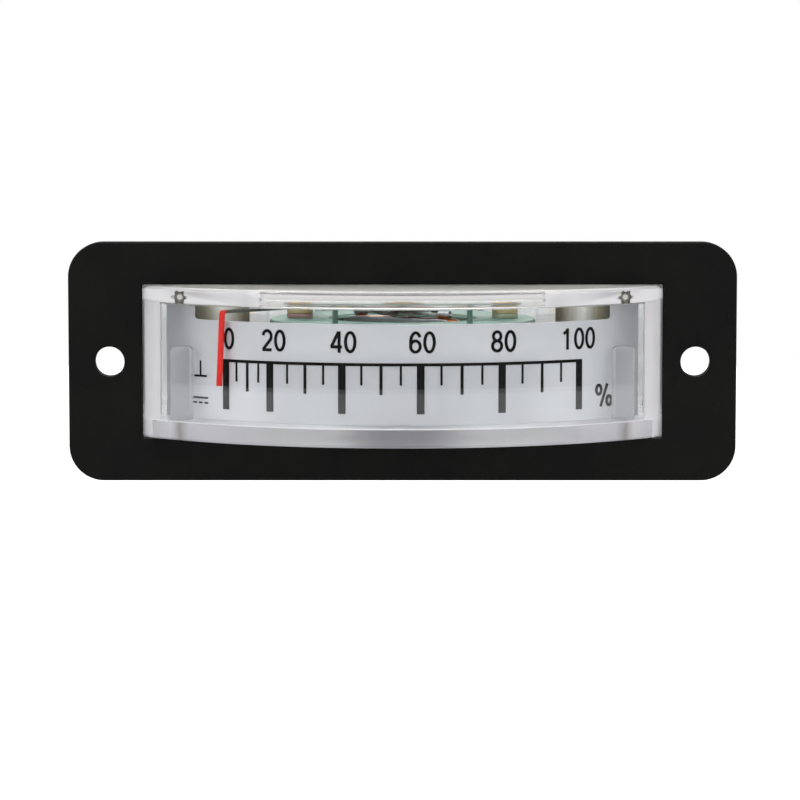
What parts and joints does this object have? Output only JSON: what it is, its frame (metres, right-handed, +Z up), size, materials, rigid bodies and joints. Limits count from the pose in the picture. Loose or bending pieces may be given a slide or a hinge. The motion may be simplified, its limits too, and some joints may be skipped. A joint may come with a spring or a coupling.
{
  "type": "edgewise panel meter",
  "caption": "Edgewise moving-coil panel meter: black screw-on bezel, clear bowed case, curved percent scale and a red pointer that swings along it.",
  "frame": {"origin": "middle of the bezel's back face, which lies on the panel, midway between the panel screw holes", "axes": "+X to the right seen from the front, +Y back through the panel, +Z up"},
  "size_m": [0.067, 0.0626, 0.024],
  "materials": {
    "bezel_black": "moulded, fine matte",
    "clear_case": "clear, polished",
    "dial_white": "satin white",
    "print_black": "printed ink",
    "die_cast": "as cast",
    "plated_iron": "blue-green passivated zinc",
    "magnet": "ground",
    "brass": "turned",
    "bronze_strip": "rolled strip",
    "aluminium": "sheet",
    "copper_wire": "enamelled winding",
    "jewel": "polished synthetic ruby",
    "pivot_steel": "polished",
    "pointer_red": "red enamel",
    "yellow_zinc": "yellow passivated zinc",
    "steel": "bright zinc",
    "phenolic": "moulded, dark",
    "tinned": "tinned",
    "resistor_body": "lacquer",
    "lead_insulation": "extruded sleeve"
  },
  "bodies": {
    "frame": {"bezel": "bezel_black", "upper_case": "clear_case", "lower_case": "clear_case", "dial_plate": "dial_white", "scale_marks": "print_black", "movement_base": "die_cast", "movement_screws": "steel", "side_screens": "yellow_zinc", "yoke_ring": "plated_iron", "core_magnet": "magnet", "core_supports": "brass", "lower_jewel_screw": "brass", "lower_jewel": "jewel", "upper_jewel_screw": "brass", "upper_jewel": "jewel", "jewel_lock_nut": "steel", "top_bridge": "plated_iron", "bridge_pillars": "phenolic", "bridge_screws": "brass", "lower_hairspring": "bronze_strip", "lower_spring_post": "brass", "stop_pins": "plated_iron", "terminal_studs": "brass", "terminal_washers": "steel", "solder_lugs": "tinned", "terminal_nuts": "brass", "series_resistor": "resistor_body", "resistor_leads": "tinned", "base_lead": "lead_insulation"},
    "moving_coil": {"coil_former": "aluminium", "coil_winding": "copper_wire", "upper_pivot": "pivot_steel", "lower_pivot": "pivot_steel", "pointer": "pointer_red", "balance_weights": "steel"},
    "zero_setter": {"zero_lever": "brass", "upper_hairspring": "bronze_strip"}
  },
  "joints": [
    {"name": "pointer_swing", "type": "hinge", "parent": "frame", "child": "moving_coil", "pos_m": [0, 0.0234, 0], "axis": [0, 0, 1], "range_deg": [-1.5, 69.79], "stiffness_Nm_per_rad": 0.00002, "deforming": ["upper_hairspring", "lower_hairspring"]},
    {"name": "zero_lever_turn", "type": "hinge", "parent": "frame", "child": "zero_setter", "pos_m": [0, 0.0234, 0], "axis": [0, 0, 1], "range_deg": [-12, 12], "deforming": ["upper_hairspring"]}
  ]
}
